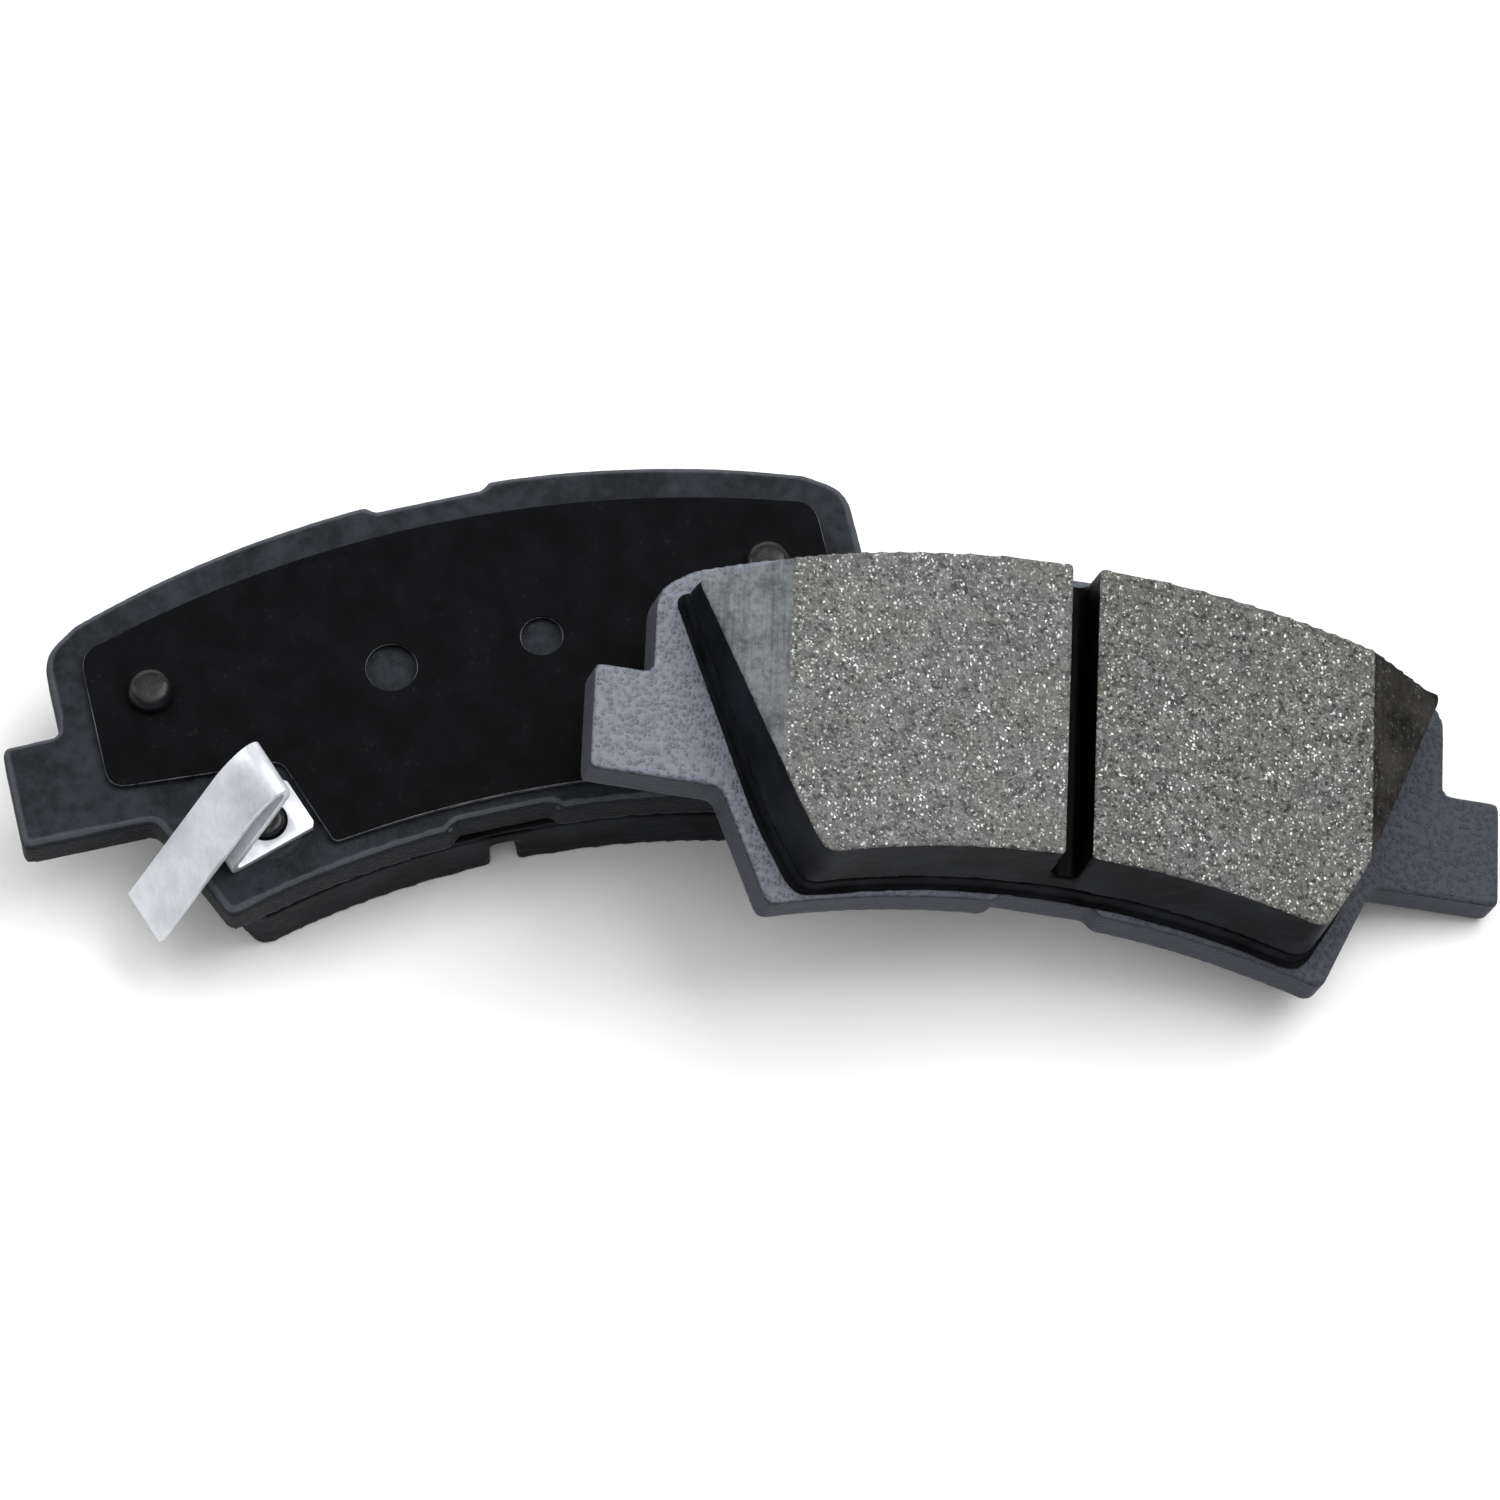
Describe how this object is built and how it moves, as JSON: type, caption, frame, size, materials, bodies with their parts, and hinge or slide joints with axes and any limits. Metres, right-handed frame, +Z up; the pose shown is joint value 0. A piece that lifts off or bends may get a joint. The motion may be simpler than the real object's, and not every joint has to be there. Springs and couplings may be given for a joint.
{
  "type": "disc brake pad pair",
  "caption": "Inner and outer disc brake pads with eared backing plates, slotted chamfered friction blocks, noise shims and a folded wear indicator.",
  "frame": {"origin": "under the middle of the pair, on the surface that the inner pad lies on", "axes": "+Z up, out of the back of the inner pad, +X along the row of pads from inner to outer, +Y towards the crowned edges of the pads"},
  "size_m": [0.158, 0.058, 0.0379],
  "materials": {
    "powder_coated_plate": "satin dark grey powder coat with a fine pebbled texture over fine-blanked steel",
    "bonding_resin": "black phenolic bonding resin with a ragged squeezed-out rim",
    "underlayer": "smooth dark moulded underlayer",
    "friction_compound": "ground speckled friction compound with bright metallic and dark grains",
    "shim_rubber": "matte black rubber coating with a very fine grain",
    "shim_steel": "bare cut steel edge",
    "coated_stud": "glossy black coated steel",
    "zinc_plated_strip": "bright zinc-plated spring steel with faint rolling marks"
  },
  "bodies": {
    "inner_pad": {"inner_backing_plate": "powder_coated_plate", "inner_bond_layer": "bonding_resin", "inner_underlayer": "underlayer", "inner_friction_block": "friction_compound", "inner_shim_inner_skin": "shim_rubber", "inner_shim_core": "shim_steel", "inner_shim_outer_skin": "shim_rubber", "inner_shim_stud_left": "coated_stud", "inner_shim_stud_right": "coated_stud", "inner_wear_indicator": "zinc_plated_strip", "inner_wear_indicator_rivet": "coated_stud"},
    "outer_pad": {"outer_backing_plate": "powder_coated_plate", "outer_bond_layer": "bonding_resin", "outer_underlayer": "underlayer", "outer_friction_block": "friction_compound", "outer_shim_inner_skin": "shim_rubber", "outer_shim_core": "shim_steel", "outer_shim_outer_skin": "shim_rubber", "outer_shim_stud_left": "coated_stud", "outer_shim_stud_right": "coated_stud"}
  },
  "joints": [
    {"name": "outer_pad_lift", "type": "slide", "parent": "inner_pad", "child": "outer_pad", "axis": [0, 0, 1], "range_m": [0, 0.04]}
  ]
}
